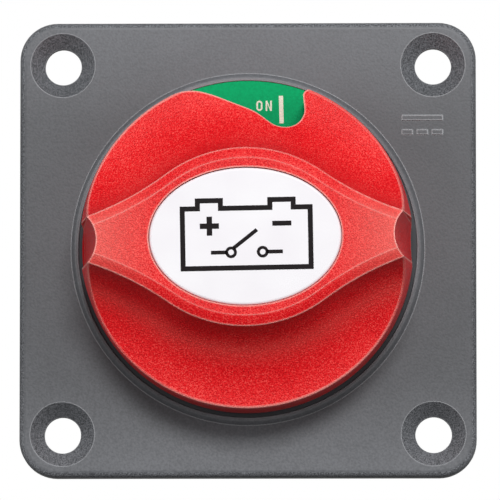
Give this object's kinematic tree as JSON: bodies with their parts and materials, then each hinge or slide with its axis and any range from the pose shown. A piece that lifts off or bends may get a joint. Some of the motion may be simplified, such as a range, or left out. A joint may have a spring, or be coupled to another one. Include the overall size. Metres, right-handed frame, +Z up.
{
  "type": "battery isolator switch",
  "caption": "Square panel-mounted rotary battery switch: grey plate with countersunk corner holes, red bow-tie knob on a round dial, and two threaded studs behind.",
  "frame": {"origin": "centre of the face plate's rear face, on the panel's surface and on the knob's axis", "axes": "+Z up and +X to the right as the switch is mounted on a wall, -Y out of the panel towards the user; the studs point along +Y"},
  "size_m": [0.085, 0.088, 0.085],
  "materials": {
    "plate_grey": "grey glass-filled nylon, finely grained",
    "dial_green": "green label disc with a red OFF sector, satin",
    "knob_red": "red moulded nylon, finely grained on the grip",
    "badge_white": "white oval cap, smooth, with a printed symbol",
    "zinc_steel": "zinc-plated steel",
    "rotor_nylon": "natural nylon",
    "insert_brass": "turned brass",
    "carrier_nylon": "natural nylon",
    "spring_steel": "bright spring steel",
    "contact_copper": "copper, lightly brushed",
    "contact_silver": "silver contact faces",
    "stud_tinned": "tin-plated copper, M10 thread",
    "housing_black": "black glass-filled nylon",
    "terminal_steel": "stainless steel",
    "seal_rubber": "black rubber",
    "washer_nylon": "white acetal"
  },
  "bodies": {
    "base": {"face_plate": "plate_grey", "dial_label": "dial_green", "rear_housing": "housing_black", "housing_screws": "zinc_steel", "housing_seal": "seal_rubber", "fixed_contact_tips": "contact_silver", "battery_stud": "stud_tinned", "load_stud": "stud_tinned", "stud_seals": "seal_rubber", "stud_lock_nuts": "terminal_steel", "terminal_flat_washers": "terminal_steel", "terminal_spring_washers": "terminal_steel", "terminal_nuts": "terminal_steel", "detent_springs": "spring_steel", "return_springs": "spring_steel", "thrust_washer": "washer_nylon"},
    "turning_knob": {"knob": "knob_red", "knob_badge": "badge_white", "knob_screw": "zinc_steel", "knob_screw_washer": "zinc_steel", "cam_rotor": "rotor_nylon", "spindle_insert": "insert_brass", "spindle_seal": "seal_rubber"},
    "sliding_bridge": {"bridge_carrier": "carrier_nylon", "contact_spring": "spring_steel", "contact_bridge": "contact_copper", "moving_contact_tips": "contact_silver"}
  },
  "joints": [
    {"name": "knob_turn", "type": "hinge", "parent": "base", "child": "turning_knob", "pos_m": [0, 0, 0], "axis": [0, -1, 0], "range_deg": [0, 90], "deforming": ["detent_springs"]},
    {"name": "bridge_slide", "type": "slide", "parent": "base", "child": "sliding_bridge", "axis": [0, -1, 0], "range_m": [0, 0.003], "deforming": ["return_springs"]}
  ],
  "couplings": [
    {"joint": "bridge_slide", "follows": "knob_turn", "m_per_rad": 0.0019099}
  ]
}
